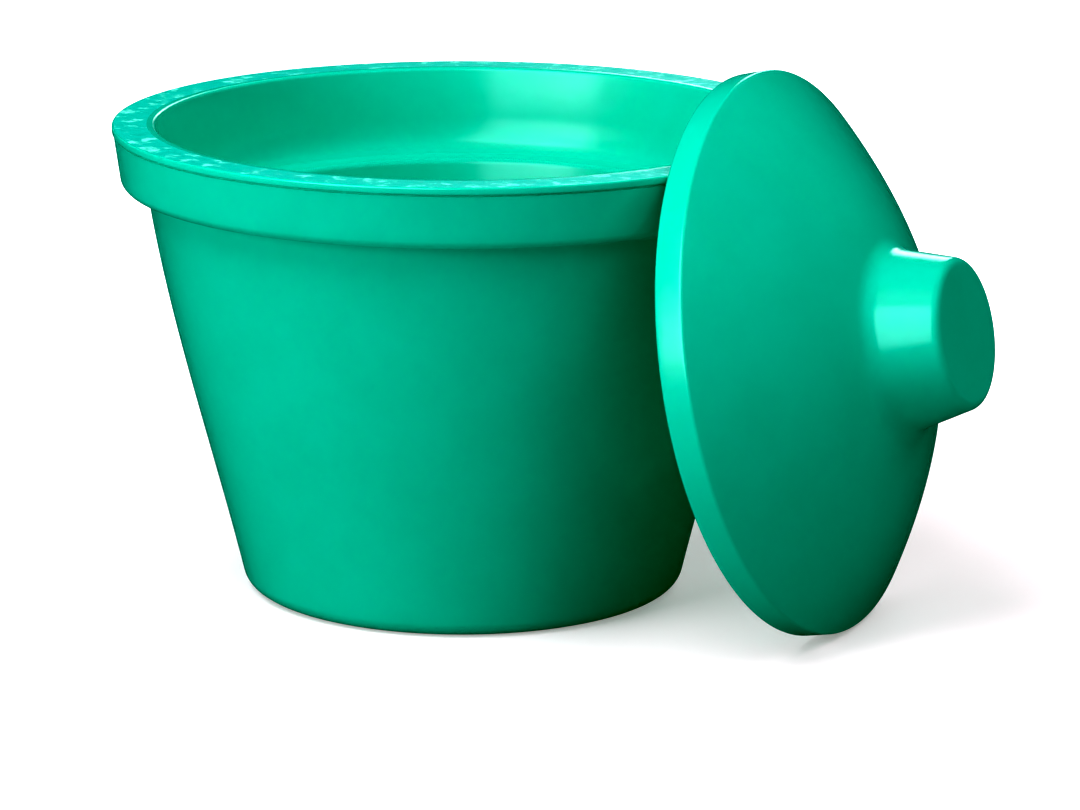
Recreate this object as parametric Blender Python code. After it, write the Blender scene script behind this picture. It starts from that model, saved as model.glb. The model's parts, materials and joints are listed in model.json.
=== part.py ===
"""Insulated ice bucket with a domed lid, both moulded in closed-cell foam.

The bucket stands on the floor with its axis on +Z and the middle of its underside at the origin.
The lid stands on its edge at the bucket's +X side and leans against the bucket's collar.
Lengths are in metres, and outlines are lists of (radius, height) points about the piece's own axis.
"""

from math import cos, pi, radians, sin

import bmesh
import bpy

# Bucket, from the floor up
BASE_RADIUS = 0.0772
BASE_ROUNDING = 0.0075
WALL_TOP = (0.1192, 0.1545)
WALL_LEAN_AT_BASE = 0.235
WALL_LEAN_AT_COLLAR = 0.145
COLLAR_UNDERSIDE = 0.1556
COLLAR_SETBACK = 0.0016
COLLAR_ROUNDING = 0.0042
COLLAR_FOOT_RADIUS = 0.1250
COLLAR_TOP = (0.1314, 0.1756)
LIP_RADIUS = 0.1320
LIP_FOOT = 0.1762
LIP_ROUNDING = 0.0010
RIM_HEIGHT = 0.1790
RIM_INNER_RADIUS = 0.1172
RIM_INNER_ROUNDING = 0.0015

# The bucket's hollow: a recess that takes the lid, the ledge that the lid sits on, and the cavity
RECESS_TOP_PULL = (0.1142, 0.1690)
COVE_TOP = (0.1131, 0.1605)
COVE_PULLS = ((0.1126, 0.1560), (0.1112, 0.1485))
CREASE = (0.1070, 0.1463)
LEDGE_OUTER_RADIUS = 0.1061
LEDGE_HEIGHT = 0.1457
LEDGE_INNER_RADIUS = 0.0950
LEDGE_ROUNDING = 0.0024
CAVITY_FLOOR = 0.0180
CAVITY_FLOOR_RADIUS = 0.0560
CAVITY_FLOOR_ROUNDING = 0.0130
BUCKET_SIDES = 72

# Lid, along its own axis: heights count from a level in its edge band, and the knob points up
LID_RADIUS = 0.1045
CREST_HEIGHT = 0.0033
CREST_ROUNDING = 0.0016
CREST_TURN = 53.8
BAND_TURN = -1.3
LID_BACK_RADIUS = 0.1043
LID_BACK_HEIGHT = -0.0068
LID_BACK_ROUNDING = 0.0016
DOME_RISE = 0.0447
DOME_POWER = 1.71
DOME_STEPS = 7
DISH_RADIUS = 0.1022
DISH_DEPTH = 0.0340
DISH_POWER = 3.0
DISH_STEPS = 8
DISH_CROWDING = 0.6
KNOB_BASE_RADIUS = 0.0340
KNOB_BASE_FILLET = 0.0065
KNOB_END_RADIUS = 0.0274
KNOB_END_HEIGHT = 0.0683
KNOB_END_ROUNDING = 0.0038
LID_SIDES = 64

# How the lid leans: its axis is this far above the horizontal, and it just clears what it rests on
LID_LEAN = 12.0
LID_CENTRE_X = 0.1378
FLOOR_GAP = 0.0001

FOAM_COLOUR = (0.0, 0.50, 0.33, 1.0)
FOAM_ROUGHNESS = 0.45
MERGE_DISTANCE = 0.000001
SHARP_ANGLE = 35.0


def arc(centre, radius, start, end, steps):
    """Points of an arc about centre, from start to end in degrees, counted from the outward direction."""
    turns = [radians(start + (end - start) * i / steps) for i in range(steps + 1)]
    return [(centre[0] + radius * cos(turn), centre[1] + radius * sin(turn)) for turn in turns]


def curve(start, start_pull, end_pull, end, steps):
    """Points of a cubic Bezier curve."""
    points = []
    for i in range(steps + 1):
        t = i / steps
        weights = ((1 - t) ** 3, 3 * t * (1 - t) ** 2, 3 * t * t * (1 - t), t**3)
        corners = (start, start_pull, end_pull, end)
        points.append(tuple(sum(w * c[k] for w, c in zip(weights, corners)) for k in (0, 1)))
    return points


def round_corner(before, corner, after, steps):
    """Points of a quadratic curve that cuts a corner smoothly."""
    pull_in = tuple(before[k] + (corner[k] - before[k]) * 2 / 3 for k in (0, 1))
    pull_out = tuple(after[k] + (corner[k] - after[k]) * 2 / 3 for k in (0, 1))
    return curve(before, pull_in, pull_out, after, steps)


def bucket_outline():
    """The bucket's half section, from the middle of its underside over the rim to the cavity's floor."""
    base = arc((BASE_RADIUS, BASE_ROUNDING), BASE_ROUNDING, -90, -13, 4)
    foot = base[-1]
    pull = (WALL_TOP[1] - foot[1]) / 3
    wall = curve(
        foot,
        (foot[0] + pull * WALL_LEAN_AT_BASE, foot[1] + pull),
        (WALL_TOP[0] - pull * WALL_LEAN_AT_COLLAR, WALL_TOP[1] - pull),
        WALL_TOP,
        8,
    )
    under_collar = (WALL_TOP[0] + COLLAR_SETBACK, COLLAR_UNDERSIDE)
    collar = arc(
        (COLLAR_FOOT_RADIUS, COLLAR_UNDERSIDE + COLLAR_ROUNDING), COLLAR_ROUNDING, -90, -8, 4
    )
    lip_centre = (LIP_RADIUS - LIP_ROUNDING, RIM_HEIGHT - LIP_ROUNDING)
    lip = [(LIP_RADIUS, LIP_FOOT)] + arc(lip_centre, LIP_ROUNDING, 0, 90, 3)
    rim_centre = (RIM_INNER_RADIUS, RIM_HEIGHT - RIM_INNER_ROUNDING)
    rim = arc(rim_centre, RIM_INNER_ROUNDING, 90, 176, 3)
    recess = round_corner(rim[-1], RECESS_TOP_PULL, COVE_TOP, 3)
    cove = curve(COVE_TOP, *COVE_PULLS, CREASE, 5) + [(LEDGE_OUTER_RADIUS, LEDGE_HEIGHT)]
    ledge_centre = (LEDGE_INNER_RADIUS + LEDGE_ROUNDING, LEDGE_HEIGHT - LEDGE_ROUNDING)
    ledge = arc(ledge_centre, LEDGE_ROUNDING, 90, 180, 3)
    floor_centre = (CAVITY_FLOOR_RADIUS, CAVITY_FLOOR + CAVITY_FLOOR_ROUNDING)
    cavity = arc(floor_centre, CAVITY_FLOOR_ROUNDING, -12, -90, 4)
    outer = [(0.0, 0.0)] + base + wall[1:] + [under_collar] + collar + [COLLAR_TOP] + lip
    hollow = rim + recess[1:] + cove[1:] + ledge + cavity + [(0.0, CAVITY_FLOOR)]
    return outer + hollow


def dome_height(radius):
    """Height of the lid's outer face, inside the rounded crest of its edge."""
    turn = radians(CREST_TURN)
    crest_radius = LID_RADIUS - CREST_ROUNDING * (1 - cos(turn))
    rise = DOME_RISE * (1 - (radius / crest_radius) ** DOME_POWER)
    return CREST_HEIGHT + CREST_ROUNDING * sin(turn) + rise


def dish_height(radius):
    """Height of the hollow in the lid's underside."""
    return LID_BACK_HEIGHT + DISH_DEPTH * (1 - (radius / DISH_RADIUS) ** DISH_POWER)


def lid_outline():
    """The lid's half section, from the middle of its hollow underside round its edge to the knob's end."""
    dish = [DISH_RADIUS * (i / DISH_STEPS) ** DISH_CROWDING for i in range(DISH_STEPS + 1)]
    dish = [(radius, dish_height(radius)) for radius in dish]
    back_centre = (LID_BACK_RADIUS - LID_BACK_ROUNDING, LID_BACK_HEIGHT + LID_BACK_ROUNDING)
    back = arc(back_centre, LID_BACK_ROUNDING, -90, BAND_TURN, 3)
    crest_centre = (LID_RADIUS - CREST_ROUNDING, CREST_HEIGHT)
    crest = arc(crest_centre, CREST_ROUNDING, BAND_TURN, CREST_TURN, 4)
    knob_corner = (KNOB_BASE_RADIUS, dome_height(KNOB_BASE_RADIUS))
    fillet_start = KNOB_BASE_RADIUS + KNOB_BASE_FILLET
    dome_width = crest[-1][0] - fillet_start
    dome = [crest[-1][0] - dome_width * i / DOME_STEPS for i in range(1, DOME_STEPS + 1)]
    dome = [(radius, dome_height(radius)) for radius in dome]
    end_corner = (KNOB_END_RADIUS, KNOB_END_HEIGHT)
    knob_rise = end_corner[1] - knob_corner[1]
    side = ((end_corner[0] - knob_corner[0]) / knob_rise, 1.0)
    fillet_end = tuple(knob_corner[k] + side[k] * KNOB_BASE_FILLET for k in (0, 1))
    side_end = tuple(end_corner[k] - side[k] * KNOB_END_ROUNDING for k in (0, 1))
    fillet = round_corner(dome[-1], knob_corner, fillet_end, 4)
    end_start = (KNOB_END_RADIUS - KNOB_END_ROUNDING, KNOB_END_HEIGHT)
    end = round_corner(side_end, end_corner, end_start, 4)
    return dish + back + crest + dome + fillet[1:] + end + [(0.0, KNOB_END_HEIGHT)]


def foam(name):
    """The foam's material: green, with a soft satin surface."""
    material = bpy.data.materials.new(name)
    material.use_nodes = True
    shader = material.node_tree.nodes["Principled BSDF"]
    shader.inputs["Base Color"].default_value = FOAM_COLOUR
    shader.inputs["Roughness"].default_value = FOAM_ROUGHNESS
    shader.inputs["Metallic"].default_value = 0.0
    return material


def turned(name, outline, sides, material):
    """An object made by spinning an outline, whose ends are on the axis, about the axis."""
    shape = bmesh.new()
    points = [shape.verts.new((radius, 0.0, height)) for radius, height in outline]
    lines = [shape.edges.new(pair) for pair in zip(points, points[1:])]
    bmesh.ops.spin(
        shape,
        geom=points + lines,
        cent=(0, 0, 0),
        axis=(0, 0, 1),
        angle=2 * pi,
        steps=sides,
        use_merge=True,
    )
    bmesh.ops.remove_doubles(shape, verts=shape.verts, dist=MERGE_DISTANCE)
    bmesh.ops.recalc_face_normals(shape, faces=shape.faces)
    mesh = bpy.data.meshes.new(name)
    shape.to_mesh(mesh)
    shape.free()
    mesh.shade_smooth()
    mesh.set_sharp_from_angle(angle=radians(SHARP_ANGLE))
    mesh.materials.append(material)
    piece = bpy.data.objects.new(name, mesh)
    bpy.context.scene.collection.objects.link(piece)
    return piece


def lean_against_bucket(lid):
    """Stands the lid on its edge on the floor, with its axis in the XZ plane and its knob away."""
    lean = radians(LID_LEAN)
    reach_down = max(radius * cos(lean) - height * sin(lean) for radius, height in lid_outline())
    lid.rotation_euler = (0.0, pi / 2 - lean, 0.0)
    lid.location = (LID_CENTRE_X, 0.0, reach_down + FLOOR_GAP)


def main():
    for leftover in list(bpy.data.objects):
        bpy.data.objects.remove(leftover)
    turned("bucket", bucket_outline(), BUCKET_SIDES, foam("bucket_foam"))
    lid = turned("lid", lid_outline(), LID_SIDES, foam("lid_foam"))
    lean_against_bucket(lid)


main()
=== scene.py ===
"""Looks for the foam ice bucket and the domed lid that leans against it.

Both pieces are turned shapes, finer than the CAD solids that they stand for, in moulded green foam
with a satin skin. The bucket's rim is a face cut through the foam, over a lip with a trimmed flash line.
"""

import json
from math import asin, cos, pi, radians, sin

import bmesh
import bpy
from mathutils import Euler, Matrix, Vector, noise


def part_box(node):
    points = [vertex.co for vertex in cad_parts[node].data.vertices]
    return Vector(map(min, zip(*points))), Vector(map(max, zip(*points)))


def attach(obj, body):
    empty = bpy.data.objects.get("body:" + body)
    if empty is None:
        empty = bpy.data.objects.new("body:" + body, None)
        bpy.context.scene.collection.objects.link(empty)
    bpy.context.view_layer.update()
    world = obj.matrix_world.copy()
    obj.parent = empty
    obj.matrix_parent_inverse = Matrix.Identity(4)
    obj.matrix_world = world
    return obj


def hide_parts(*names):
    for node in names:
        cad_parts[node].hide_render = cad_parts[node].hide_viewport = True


# Bucket, from the floor up, in metres
BASE_RADIUS = 0.0772
BASE_ROUNDING = 0.0075
WALL_TOP = (0.1192, 0.1545)
WALL_LEAN_AT_BASE = 0.235
WALL_LEAN_AT_COLLAR = 0.145
COLLAR_UNDERSIDE = 0.1556
UNDER_COLLAR_START = (0.1196, 0.1552)
UNDER_COLLAR_END_RADIUS = 0.1208
COLLAR_ROUNDING = 0.0042
COLLAR_FOOT_RADIUS = 0.1250
COLLAR_TOP = (0.1314, 0.1756)
LIP_RADIUS = 0.1320
LIP_FOOT = 0.1762
LIP_ROUNDING = 0.0007
GROOVE_DEPTH = 0.0004
GROOVE_EDGE = 0.00015
RIM_HEIGHT = 0.1790
RIM_INNER_RADIUS = 0.1172
RIM_INNER_ROUNDING = 0.0015
RECESS_PULLS = ((0.1145, 0.1715), (0.1138, 0.1660))
COVE_TOP = (0.1131, 0.1605)
COVE_PULLS = ((0.1126, 0.1560), (0.1112, 0.1485))
CREASE = (0.1070, 0.1463)
CREASE_FOOT = (0.1067, 0.1459)
LEDGE_OUTER_RADIUS = 0.1061
LEDGE_HEIGHT = 0.1457
LEDGE_INNER_RADIUS = 0.0950
LEDGE_ROUNDING = 0.0024
CAVITY_FLOOR = 0.0180
CAVITY_FLOOR_RADIUS = 0.0560
CAVITY_FLOOR_ROUNDING = 0.0130
BUCKET_SIDES = 720

# The flash line in the groove wanders up and down a little as it goes round
GROOVE_JITTER = 0.00022
JITTER_SCALE = 90
JITTER_HEIGHT_SCALE = 900

# Lid, along its own axis
LID_RADIUS = 0.1045
CREST_HEIGHT = 0.0033
CREST_ROUNDING = 0.0016
CREST_TURN = 53.8
BAND_TURN = -1.3
LID_BACK_RADIUS = 0.1043
LID_BACK_HEIGHT = -0.0068
LID_BACK_ROUNDING = 0.0016
DOME_RISE = 0.0447
DOME_POWER = 1.71
DOME_STEPS = 28
DISH_RADIUS = 0.1022
DISH_DEPTH = 0.0340
DISH_POWER = 3.0
DISH_STEPS = 24
DISH_CROWDING = 0.6
KNOB_BASE_RADIUS = 0.0340
KNOB_BASE_FILLET = 0.0048
KNOB_END_RADIUS = 0.0274
KNOB_END_HEIGHT = 0.0683
KNOB_END_ROUNDING = 0.0030
LID_SIDES = 480

ON_AXIS = 1e-6
SHARP_ANGLE = 50

# Foam
FOAM_GREEN = (0.0, 0.500, 0.388, 1.0)
FOAM_GREEN_LIGHT = (0.001, 0.520, 0.405, 1.0)
FOAM_IOR = 1.46
BLOTCH_SCALE = 38.0
GRAIN_SCALE = 1600.0
GRAIN_DEPTH = 0.000015
GLOSS_SCALE = 240.0
SKIN_ROUGHNESS = (0.18, 0.24)
SKIN_SHEEN = 0.9
CUT_GREEN = (0.0, 0.46, 0.39, 1.0)
# The pale streaks of the cut rim: partly paler cut foam, partly a painted glint of the white backdrop
# mirrored in the torn cells
CUT_PALE_AND_PAINTED_GLINT = (0.20, 0.76, 0.64, 1.0)
CUT_SHEEN_TINT = (0.4, 1.0, 0.9, 1.0)
CUT_ROUGHNESS = (0.38, 0.55)
STREAK_SCALE = 160.0
TORN_SCALE = 300.0
TORN_DEPTH = 0.0004

# Camera, with its turns in degrees
CAMERA_PLACE = (0.7850, -1.5703, 0.5014)
CAMERA_PITCH = 76.14
CAMERA_HEADING = 25.60
CAMERA_ROLL = 0.168
CAMERA_LENS = 157.4

# The picture's tone: deep shades, with red and blue that reach black before green does
VIEW_GAMMA = 0.6
BLACK_LEVEL = (0.035, 0.0, 0.045)

# The lights stand round this point. Each has a name, an azimuth and elevation in degrees, a distance,
# a size, a power, and what it does: "shade" lights the foam, "sheen" is only mirrored in its skin.
LIGHT_TARGET = (0.08, 0.0, 0.10)
LIGHTS = (
    ("front_high", -55.0, 60.0, 1.8, (1.2, 1.2), 36.0, "shade"),
    ("front_low", -55.0, 12.0, 1.8, (1.2, 0.7), 28.0, "shade"),
    ("right_front", 20.0, 40.0, 2.0, (1.2, 1.2), 7.0, "shade"),
    ("right", 50.0, 50.0, 2.0, (1.2, 1.2), 15.0, "shade"),
    ("overhead", 0.0, 84.0, 1.8, (1.2, 1.2), 4.0, "shade"),
    ("right_low", 60.0, 18.0, 2.0, (1.2, 0.7), 3.0, "shade"),
    ("back", 140.0, 40.0, 2.2, (1.6, 1.0), 23.0, "shade"),
    ("key_sheen", -34.0, 29.0, 1.8, (1.5, 1.7), 25.0, "sheen"),
    ("back_sheen", 172.0, 22.0, 2.4, (0.7, 0.8), 7.0, "sheen"),
)
WORLD_LIGHT = 0.022
WORLD_SHOWN = 1.0

# The floor glows more with distance from the object, so that it fades to white behind it
FLOOR_REACH = 12.0
FLOOR_COLOUR = (0.595, 0.53, 0.55, 1.0)
FLOOR_GLOW = (0.45, 0.95)
FLOOR_GLOW_SPAN = (0.2, 0.65)
FLOOR_BOUNCE = (0.4, 0.4, 0.4, 1.0)
BOUNCE_HEIGHT = -0.0002
WHITE = (1.0, 1.0, 1.0, 1.0)


def arc(centre, radius, start, end, steps):
    """Points of an arc about centre, from start to end in degrees, counted from the outward direction."""
    turns = [radians(start + (end - start) * i / steps) for i in range(steps + 1)]
    return [(centre[0] + radius * cos(turn), centre[1] + radius * sin(turn)) for turn in turns]


def curve(start, start_pull, end_pull, end, steps):
    """Points of a cubic Bezier curve."""
    points = []
    for i in range(steps + 1):
        t = i / steps
        weights = ((1 - t) ** 3, 3 * t * (1 - t) ** 2, 3 * t * t * (1 - t), t**3)
        corners = (start, start_pull, end_pull, end)
        points.append(tuple(sum(w * c[k] for w, c in zip(weights, corners)) for k in (0, 1)))
    return points


def line(start, end, steps):
    """Points of a straight line, without its two ends."""
    return [
        tuple(start[k] + (end[k] - start[k]) * i / steps for k in (0, 1)) for i in range(1, steps)
    ]


def round_corner(before, corner, after, steps):
    """Points of a quadratic curve that cuts a corner smoothly."""
    pull_in = tuple(before[k] + (corner[k] - before[k]) * 2 / 3 for k in (0, 1))
    pull_out = tuple(after[k] + (corner[k] - after[k]) * 2 / 3 for k in (0, 1))
    return curve(before, pull_in, pull_out, after, steps)


def bucket_outline():
    """The bucket's half section as runs of points, each with the name of its part of the surface."""
    base = arc((BASE_RADIUS, BASE_ROUNDING), BASE_ROUNDING, -90, -13, 10)
    foot = base[-1]
    pull = (WALL_TOP[1] - foot[1]) / 3
    wall = curve(
        foot,
        (foot[0] + pull * WALL_LEAN_AT_BASE, foot[1] + pull),
        (WALL_TOP[0] - pull * WALL_LEAN_AT_COLLAR, WALL_TOP[1] - pull),
        WALL_TOP,
        28,
    )
    under_collar = [UNDER_COLLAR_START, (UNDER_COLLAR_END_RADIUS, COLLAR_UNDERSIDE)]
    collar = arc(
        (COLLAR_FOOT_RADIUS, COLLAR_UNDERSIDE + COLLAR_ROUNDING), COLLAR_ROUNDING, -90, -12, 10
    )
    face = line(collar[-1], COLLAR_TOP, 6)
    groove = [
        COLLAR_TOP,
        (COLLAR_TOP[0] - GROOVE_DEPTH, COLLAR_TOP[1] + GROOVE_EDGE),
        (COLLAR_TOP[0] - GROOVE_DEPTH, LIP_FOOT - GROOVE_EDGE),
    ]
    lip_low = arc((LIP_RADIUS - LIP_ROUNDING, LIP_FOOT + LIP_ROUNDING), LIP_ROUNDING, -80, 0, 4)
    lip_high = arc((LIP_RADIUS - LIP_ROUNDING, RIM_HEIGHT - LIP_ROUNDING), LIP_ROUNDING, 0, 90, 5)
    rim_centre = (RIM_INNER_RADIUS, RIM_HEIGHT - RIM_INNER_ROUNDING)
    rim = line(lip_high[-1], (RIM_INNER_RADIUS, RIM_HEIGHT), 8)
    rim_edge = arc(rim_centre, RIM_INNER_ROUNDING, 90, 176, 6)
    recess = curve(rim_edge[-1], *RECESS_PULLS, COVE_TOP, 10)[1:]
    cove = curve(COVE_TOP, *COVE_PULLS, CREASE, 14)[1:]
    crease = [CREASE_FOOT, (LEDGE_OUTER_RADIUS, LEDGE_HEIGHT)]
    ledge_centre = (LEDGE_INNER_RADIUS + LEDGE_ROUNDING, LEDGE_HEIGHT - LEDGE_ROUNDING)
    ledge = arc(ledge_centre, LEDGE_ROUNDING, 90, 172, 6)
    floor_centre = (CAVITY_FLOOR_RADIUS, CAVITY_FLOOR + CAVITY_FLOOR_ROUNDING)
    cavity = arc(floor_centre, CAVITY_FLOOR_ROUNDING, -12, -90, 10)
    side = line(ledge[-1], cavity[0], 20)
    underside = [(0.0, 0.0), (BASE_RADIUS / 2, 0.0)]
    return [
        ("skin", underside + base + wall[1:] + under_collar + collar + face),
        ("groove", groove),
        ("skin", lip_low + lip_high),
        ("cut", rim),
        ("skin", rim_edge + recess + cove + crease + ledge + side + cavity),
        ("skin", [(CAVITY_FLOOR_RADIUS / 2, CAVITY_FLOOR), (0.0, CAVITY_FLOOR)]),
    ]


def dome_height(radius):
    """Height of the lid's outer face, inside the rounded crest of its edge."""
    turn = radians(CREST_TURN)
    crest_radius = LID_RADIUS - CREST_ROUNDING * (1 - cos(turn))
    rise = DOME_RISE * (1 - (radius / crest_radius) ** DOME_POWER)
    return CREST_HEIGHT + CREST_ROUNDING * sin(turn) + rise


def dish_height(radius):
    """Height of the hollow in the lid's underside."""
    return LID_BACK_HEIGHT + DISH_DEPTH * (1 - (radius / DISH_RADIUS) ** DISH_POWER)


def lid_outline():
    """The lid's half section, from the middle of its hollow underside round its edge to the knob's end."""
    dish = [DISH_RADIUS * (i / DISH_STEPS) ** DISH_CROWDING for i in range(DISH_STEPS + 1)]
    dish = [(radius, dish_height(radius)) for radius in dish]
    back_centre = (LID_BACK_RADIUS - LID_BACK_ROUNDING, LID_BACK_HEIGHT + LID_BACK_ROUNDING)
    back = arc(back_centre, LID_BACK_ROUNDING, -90, BAND_TURN, 6)
    crest_centre = (LID_RADIUS - CREST_ROUNDING, CREST_HEIGHT)
    crest = arc(crest_centre, CREST_ROUNDING, BAND_TURN, CREST_TURN, 12)
    band = line(back[-1], crest[0], 4)
    knob_corner = (KNOB_BASE_RADIUS, dome_height(KNOB_BASE_RADIUS))
    fillet_start = KNOB_BASE_RADIUS + KNOB_BASE_FILLET
    dome_width = crest[-1][0] - fillet_start
    dome = [crest[-1][0] - dome_width * i / DOME_STEPS for i in range(1, DOME_STEPS + 1)]
    dome = [(radius, dome_height(radius)) for radius in dome]
    end_corner = (KNOB_END_RADIUS, KNOB_END_HEIGHT)
    knob_rise = end_corner[1] - knob_corner[1]
    side = ((end_corner[0] - knob_corner[0]) / knob_rise, 1.0)
    fillet_end = tuple(knob_corner[k] + side[k] * KNOB_BASE_FILLET for k in (0, 1))
    side_end = tuple(end_corner[k] - side[k] * KNOB_END_ROUNDING for k in (0, 1))
    fillet = round_corner(dome[-1], knob_corner, fillet_end, 12)
    end_start = (KNOB_END_RADIUS - KNOB_END_ROUNDING, KNOB_END_HEIGHT)
    end = round_corner(side_end, end_corner, end_start, 12)
    knob_side = line(fillet[-1], end[0], 6)
    face = line(end[-1], (0.0, KNOB_END_HEIGHT), 6)
    dome_side = dish + back + band + crest + dome
    knob = fillet[1:] + knob_side + end + face + [(0.0, KNOB_END_HEIGHT)]
    return [("skin", dome_side + knob)]


def turned(name, runs, sides, materials):
    """A closed mesh object made by turning a half section, whose ends are on the axis, about Z."""
    shape = bmesh.new()
    names = list(materials)
    rings = []
    for part, points in runs:
        for radius, height in points:
            if radius < ON_AXIS:
                rings.append((part, [shape.verts.new((0.0, 0.0, height))]))
                continue
            ring = []
            for i in range(sides):
                turn = 2 * pi * i / sides
                level = height
                if part == "groove":
                    spot = Vector((cos(turn), sin(turn), height * JITTER_HEIGHT_SCALE))
                    level += GROOVE_JITTER * noise.noise(spot * JITTER_SCALE)
                ring.append(shape.verts.new((radius * cos(turn), radius * sin(turn), level)))
            rings.append((part, ring))
    for (_, low), (part, high) in zip(rings, rings[1:]):
        slot = names.index(part) if part in names else 0
        for i in range(sides):
            j = (i + 1) % sides
            if len(low) == 1:
                corners = (low[0], high[j], high[i])
            elif len(high) == 1:
                corners = (low[i], low[j], high[0])
            else:
                corners = (low[i], low[j], high[j], high[i])
            face = shape.faces.new(corners)
            face.material_index = slot
    bmesh.ops.recalc_face_normals(shape, faces=shape.faces)
    mesh = bpy.data.meshes.new(name)
    shape.to_mesh(mesh)
    shape.free()
    mesh.shade_smooth()
    mesh.set_sharp_from_angle(angle=radians(SHARP_ANGLE))
    for material in materials.values():
        mesh.materials.append(material)
    piece = bpy.data.objects.new(name, mesh)
    bpy.context.scene.collection.objects.link(piece)
    return piece


class Nodes:
    """Short ways to add and join a material's nodes."""

    def __init__(self, name):
        self.material = bpy.data.materials.new(name)
        self.material.use_nodes = True
        self.tree = self.material.node_tree
        self.shader = self.tree.nodes["Principled BSDF"]
        self.place = self.add("ShaderNodeTexCoord").outputs["Object"]

    def add(self, kind, **settings):
        node = self.tree.nodes.new(kind)
        for key, value in settings.items():
            setattr(node, key, value)
        return node

    def set(self, socket, value):
        if isinstance(value, bpy.types.NodeSocket):
            self.tree.links.new(value, socket)
        else:
            socket.default_value = value

    def noise(self, scale, detail, roughness):
        node = self.add("ShaderNodeTexNoise")
        self.set(node.inputs["Vector"], self.place)
        node.inputs["Scale"].default_value = scale
        node.inputs["Detail"].default_value = detail
        node.inputs["Roughness"].default_value = roughness
        return node.outputs["Fac"]

    def spread(self, value, source, target=(0.0, 1.0)):
        """A smooth step from one range of values to another."""
        node = self.add("ShaderNodeMapRange", interpolation_type="SMOOTHSTEP")
        self.set(node.inputs["Value"], value)
        ends = zip(("From Min", "From Max", "To Min", "To Max"), source + target)
        for key, number in ends:
            node.inputs[key].default_value = number
        return node.outputs["Result"]

    def mix(self, share, first, second):
        node = self.add("ShaderNodeMix", data_type="RGBA")
        self.set(node.inputs[0], share)
        self.set(node.inputs[6], first)
        self.set(node.inputs[7], second)
        return node.outputs[2]

    def bump(self, height, distance, strength):
        node = self.add("ShaderNodeBump")
        self.set(node.inputs["Height"], height)
        node.inputs["Distance"].default_value = distance
        node.inputs["Strength"].default_value = strength
        return node.outputs["Normal"]


def foam_skin(name):
    """The moulded skin: satin, finely pitted by the foam's cells, with faint blotches."""
    n = Nodes(name)
    blotch = n.spread(n.noise(BLOTCH_SCALE, 4.0, 0.6), (0.3, 0.7))
    n.set(n.shader.inputs["Base Color"], n.mix(blotch, FOAM_GREEN, FOAM_GREEN_LIGHT))
    grain = n.noise(GRAIN_SCALE, 3.0, 0.6)
    n.set(n.shader.inputs["Normal"], n.bump(grain, GRAIN_DEPTH, 0.6))
    gloss = n.spread(n.noise(GLOSS_SCALE, 3.0, 0.5), (0.3, 0.7), SKIN_ROUGHNESS)
    n.set(n.shader.inputs["Roughness"], gloss)
    n.shader.inputs["IOR"].default_value = FOAM_IOR
    n.shader.inputs["Specular IOR Level"].default_value = SKIN_SHEEN
    return n.material


def foam_cut(name):
    """The rim's cut face: mottled torn cells. Their short pale streaks are painted into the colour, and
    are partly paler cut foam and partly a painted glint of the white backdrop mirrored in the torn cells.
    """
    n = Nodes(name)
    # Where this streak mask is high the colour turns pale: paler cut foam together with a painted glint of
    # the backdrop
    streak_and_glint = n.spread(n.noise(STREAK_SCALE, 5.0, 0.65), (0.53, 0.66))
    n.set(n.shader.inputs["Base Color"], n.mix(streak_and_glint, CUT_GREEN, CUT_PALE_AND_PAINTED_GLINT))
    torn = n.noise(TORN_SCALE, 5.0, 0.7)
    n.set(n.shader.inputs["Normal"], n.bump(torn, TORN_DEPTH, 0.8))
    gloss = n.spread(n.noise(GLOSS_SCALE, 3.0, 0.5), (0.3, 0.7), CUT_ROUGHNESS)
    n.set(n.shader.inputs["Roughness"], gloss)
    n.shader.inputs["IOR"].default_value = FOAM_IOR
    n.shader.inputs["Specular Tint"].default_value = CUT_SHEEN_TINT
    return n.material


def lean_like_cad(lid, axis):
    """Puts the lid where the CAD lid stands.

    Its axis follows the joint's, and its lowest and outermost points match those of the CAD lid.
    """
    low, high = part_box("lid")
    lean = asin(axis[2])
    points = [point for _, run in lid_outline() for point in run]
    reach_down = max(radius * cos(lean) - height * sin(lean) for radius, height in points)
    reach_out = max(height * cos(lean) + radius * sin(lean) for radius, height in points)
    lid.data.transform(Matrix.Rotation(pi / 2 - lean, 4, "Y"))
    lid.location = (high.x - reach_out, (low.y + high.y) / 2, low.z + reach_down)


def wide_plane(name, height, colour, glow):
    """A wide level plane that belongs to the studio."""
    shape = bmesh.new()
    reach = FLOOR_REACH
    corners = ((-reach, -reach), (reach, -reach), (reach, reach), (-reach, reach))
    shape.faces.new([shape.verts.new((x, y, height)) for x, y in corners])
    mesh = bpy.data.meshes.new(name)
    shape.to_mesh(mesh)
    shape.free()
    n = Nodes(name)
    n.shader.inputs["Base Color"].default_value = colour
    n.shader.inputs["Roughness"].default_value = 0.9
    n.shader.inputs["Specular IOR Level"].default_value = 0.0
    n.shader.inputs["Emission Color"].default_value = WHITE
    distance = n.add("ShaderNodeVectorMath", operation="LENGTH")
    n.set(distance.inputs[0], n.place)
    strength = n.spread(distance.outputs["Value"], FLOOR_GLOW_SPAN, glow)
    n.set(n.shader.inputs["Emission Strength"], strength)
    mesh.materials.append(n.material)
    plane = bpy.data.objects.new(name, mesh)
    bpy.context.scene.collection.objects.link(plane)
    return plane


def pale_floor():
    """The floor that shows, and under it the duller one whose bounce light reaches the object."""
    shown = wide_plane("floor", 0.0, FLOOR_COLOUR, FLOOR_GLOW)
    shown.visible_diffuse = False
    shown.visible_glossy = False
    shown.visible_shadow = False
    bounce = wide_plane("floor_bounce", BOUNCE_HEIGHT, FLOOR_BOUNCE, (0.0, 0.0))
    bounce.visible_camera = False
    bounce.visible_glossy = False


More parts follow.
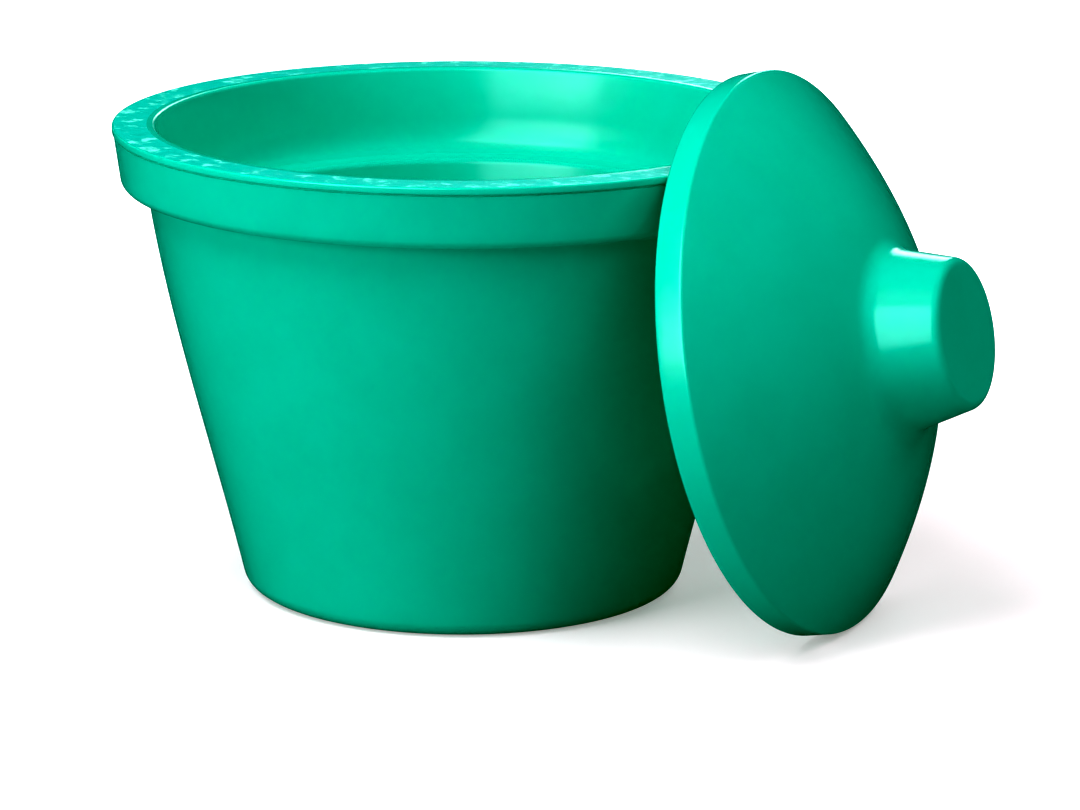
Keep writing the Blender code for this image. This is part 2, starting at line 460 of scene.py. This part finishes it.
def softbox(name, azimuth, elevation, distance, size, power, use):
    """A panel of soft light; its azimuth counts from the camera's side, to the left if negative."""
    light = bpy.data.lights.new(name, "AREA")
    light.shape = "RECTANGLE"
    light.size, light.size_y = size
    light.energy = power
    lamp = bpy.data.objects.new(name, light)
    turn = radians(CAMERA_HEADING + azimuth)
    rise = radians(elevation)
    towards = Vector((sin(turn) * cos(rise), -cos(turn) * cos(rise), sin(rise)))
    lamp.location = Vector(LIGHT_TARGET) + towards * distance
    lamp.rotation_euler = (-towards).to_track_quat("-Z", "Y").to_euler()
    lamp.visible_glossy = use == "sheen"
    lamp.visible_diffuse = use == "shade"
    bpy.context.scene.collection.objects.link(lamp)


def plain_world():
    """A dim white world that shows as bright white where the floor ends."""
    world = bpy.data.worlds.new("studio")
    world.use_nodes = True
    tree = world.node_tree
    background = tree.nodes["Background"]
    background.inputs["Color"].default_value = WHITE
    sight = tree.nodes.new("ShaderNodeLightPath").outputs["Is Camera Ray"]
    strength = tree.nodes.new("ShaderNodeMapRange")
    strength.inputs["To Min"].default_value = WORLD_LIGHT
    strength.inputs["To Max"].default_value = WORLD_SHOWN
    tree.links.new(sight, strength.inputs["Value"])
    tree.links.new(strength.outputs["Result"], background.inputs["Strength"])
    bpy.context.scene.world = world


def studio():
    """The world, the soft lights, the camera and the picture's tone."""
    scene = bpy.context.scene
    plain_world()
    for light in LIGHTS:
        softbox(*light)
    camera = bpy.data.objects.new("camera", bpy.data.cameras.new("camera"))
    camera.data.lens = CAMERA_LENS
    camera.location = CAMERA_PLACE
    turn = Euler((radians(CAMERA_PITCH), 0.0, radians(CAMERA_HEADING))).to_matrix()
    camera.rotation_euler = (turn @ Matrix.Rotation(radians(CAMERA_ROLL), 3, "Z")).to_euler()
    scene.collection.objects.link(camera)
    scene.camera = camera
    view = scene.view_settings
    view.view_transform = "Standard"
    view.gamma = VIEW_GAMMA
    view.use_curve_mapping = True
    view.curve_mapping.black_level = BLACK_LEVEL
    view.curve_mapping.update()


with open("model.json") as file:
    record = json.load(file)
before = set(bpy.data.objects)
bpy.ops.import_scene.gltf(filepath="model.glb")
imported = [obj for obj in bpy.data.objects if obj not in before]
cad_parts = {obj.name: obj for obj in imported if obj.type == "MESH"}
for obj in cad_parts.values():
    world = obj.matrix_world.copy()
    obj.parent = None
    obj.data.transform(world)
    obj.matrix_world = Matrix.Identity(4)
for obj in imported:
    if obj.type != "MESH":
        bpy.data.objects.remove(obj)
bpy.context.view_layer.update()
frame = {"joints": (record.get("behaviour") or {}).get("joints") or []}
bucket_looks = {"skin": foam_skin("bucket_skin"), "cut": foam_cut("bucket_cut_rim")}
bucket = turned("bucket_foam", bucket_outline(), BUCKET_SIDES, bucket_looks)
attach(bucket, "bucket")
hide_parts("bucket")
lid = turned("lid_foam", lid_outline(), LID_SIDES, {"skin": foam_skin("lid_skin")})
lean_like_cad(lid, frame["joints"][0]["axis"])
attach(lid, "lid")
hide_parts("lid")
pale_floor()
studio()
